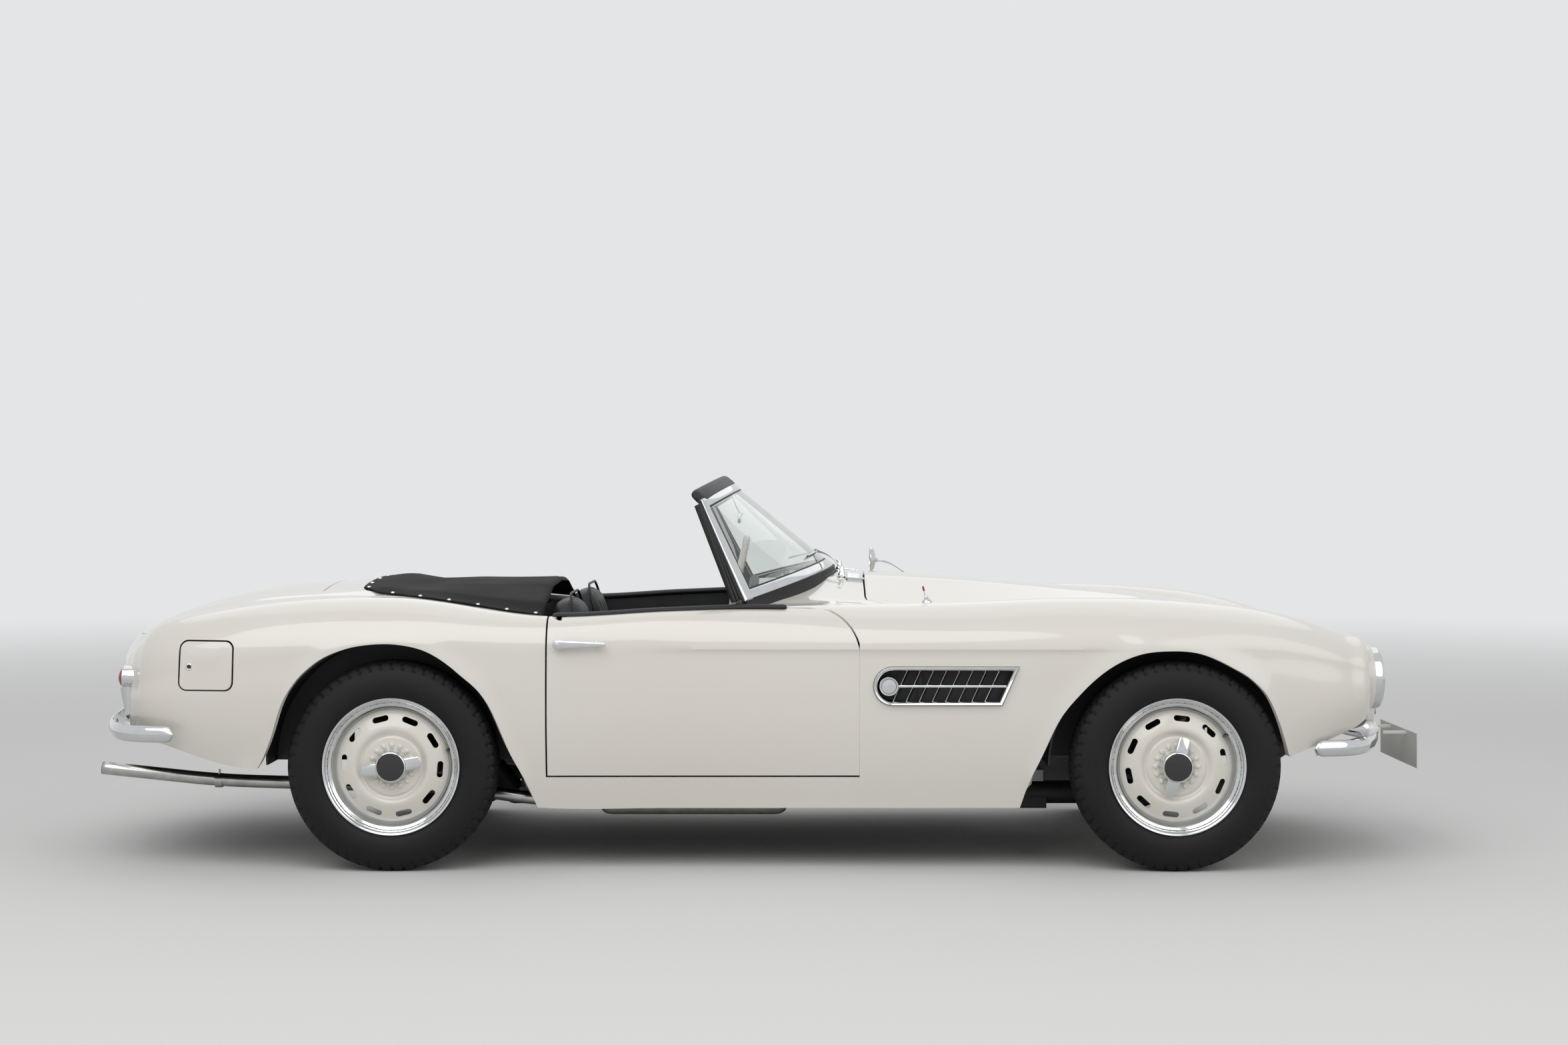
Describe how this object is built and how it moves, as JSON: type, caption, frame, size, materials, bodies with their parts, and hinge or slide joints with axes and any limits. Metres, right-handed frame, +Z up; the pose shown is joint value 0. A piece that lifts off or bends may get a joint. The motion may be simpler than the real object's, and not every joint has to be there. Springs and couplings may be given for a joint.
{
  "type": "roadster convertible",
  "caption": "Open two-seat roadster with long hood, wrapped windscreen, opening doors and lids, steered front wheels and disc wheels with wing nuts.",
  "frame": {"origin": "on the ground, under the middle of the overall length and width", "axes": "+X forward along the car, +Y to the car's left, +Z up"},
  "size_m": [4.4199, 1.629, 1.233],
  "materials": {
    "body_paint": "gloss ivory paint",
    "frame_black": "black chassis paint",
    "cast_alloy": "as cast",
    "chrome": "polished",
    "screen_glass": "clear",
    "leather": "black hide",
    "dash_paint": "ivory paint",
    "ivory_plastic": "ivory",
    "red_lens": "red lens in chrome",
    "plate_enamel": "blank white",
    "cover_cloth": "black cover cloth",
    "wheel_steel": "ivory disc, bright rim",
    "tyre": "black rubber"
  },
  "bodies": {
    "chassis": {"chassis_frame": "frame_black", "floor_pan": "frame_black", "inner_panels": "frame_black", "nose_panel": "body_paint", "front_wing_r": "body_paint", "front_wing_l": "body_paint", "cowl_panel": "body_paint", "rear_body": "body_paint", "sill_r": "body_paint", "sill_l": "body_paint", "windscreen_frame": "chrome", "windscreen_glass": "screen_glass", "seat_r": "leather", "seat_l": "leather", "dashboard": "dash_paint", "steering_column": "dash_paint", "engine": "cast_alloy", "driveline": "frame_black", "front_suspension": "frame_black", "rear_axle": "frame_black", "bumper_front": "chrome", "bumper_rear": "chrome", "grilles": "chrome", "headlamps": "chrome", "indicators": "chrome", "tail_lamps": "red_lens", "side_vents": "chrome", "exhaust": "chrome", "number_plate": "plate_enamel", "mirrors": "chrome", "tonneau_cover": "cover_cloth"},
    "hood": {"hood": "body_paint"},
    "trunk_lid": {"trunk_lid": "body_paint"},
    "door_right": {"door_r": "body_paint", "door_handle_r": "chrome"},
    "door_left": {"door_l": "body_paint", "door_handle_l": "chrome"},
    "filler_door": {"filler_door": "body_paint"},
    "steering_wheel": {"steering_wheel": "ivory_plastic"},
    "knuckle_right": {"knuckle_r": "frame_black"},
    "knuckle_left": {"knuckle_l": "frame_black"},
    "wheel_front_right": {"wheel_front_r": "wheel_steel", "tyre_front_r": "tyre"},
    "wheel_front_left": {"wheel_front_l": "wheel_steel", "tyre_front_l": "tyre"},
    "wheel_rear_right": {"wheel_rear_r": "wheel_steel", "tyre_rear_r": "tyre"},
    "wheel_rear_left": {"wheel_rear_l": "wheel_steel", "tyre_rear_l": "tyre"}
  },
  "joints": [
    {"name": "hood_hinge", "type": "hinge", "parent": "chassis", "child": "hood", "pos_m": [0.356, 0, 0.922], "axis": [0, -1, 0], "range_deg": [0, 55]},
    {"name": "trunk_hinge", "type": "hinge", "parent": "chassis", "child": "trunk_lid", "pos_m": [-1.438, 0, 0.8903], "axis": [0, 1, 0], "range_deg": [0, 65]},
    {"name": "door_right_hinge", "type": "hinge", "parent": "chassis", "child": "door_right", "pos_m": [0.321, -0.784, 0.565], "axis": [0, 0, 1], "range_deg": [0, 65]},
    {"name": "door_left_hinge", "type": "hinge", "parent": "chassis", "child": "door_left", "pos_m": [0.321, 0.784, 0.565], "axis": [0, 0, -1], "range_deg": [0, 65]},
    {"name": "filler_hinge", "type": "hinge", "parent": "chassis", "child": "filler_door", "pos_m": [-1.664, -0.775, 0.605], "axis": [0, 0, 1], "range_deg": [0, 90]},
    {"name": "steer_right", "type": "hinge", "parent": "chassis", "child": "knuckle_right", "pos_m": [1.32, -0.655, 0.333], "axis": [0, 0, 1], "range_deg": [-32, 32]},
    {"name": "steer_left", "type": "hinge", "parent": "chassis", "child": "knuckle_left", "pos_m": [1.32, 0.655, 0.333], "axis": [0, 0, 1], "range_deg": [-32, 32]},
    {"name": "steering_wheel_turn", "type": "hinge", "parent": "chassis", "child": "steering_wheel", "pos_m": [-0.095, 0.36, 0.832], "axis": [-0.9781, 0, 0.2079], "range_deg": [-490, 490]},
    {"name": "spin_front_right", "type": "hinge", "parent": "knuckle_right", "child": "wheel_front_right", "pos_m": [1.32, -0.7225, 0.333], "axis": [0, 1, 0], "continuous": true},
    {"name": "spin_front_left", "type": "hinge", "parent": "knuckle_left", "child": "wheel_front_left", "pos_m": [1.32, 0.7225, 0.333], "axis": [0, 1, 0], "continuous": true},
    {"name": "spin_rear_right", "type": "hinge", "parent": "chassis", "child": "wheel_rear_right", "pos_m": [-1.16, -0.7125, 0.333], "axis": [0, 1, 0], "continuous": true},
    {"name": "spin_rear_left", "type": "hinge", "parent": "chassis", "child": "wheel_rear_left", "pos_m": [-1.16, 0.7125, 0.333], "axis": [0, 1, 0], "continuous": true}
  ],
  "couplings": [
    {"joint": "steer_left", "follows": "steer_right", "ratio": 1},
    {"joint": "steering_wheel_turn", "follows": "steer_right", "ratio": 15}
  ]
}
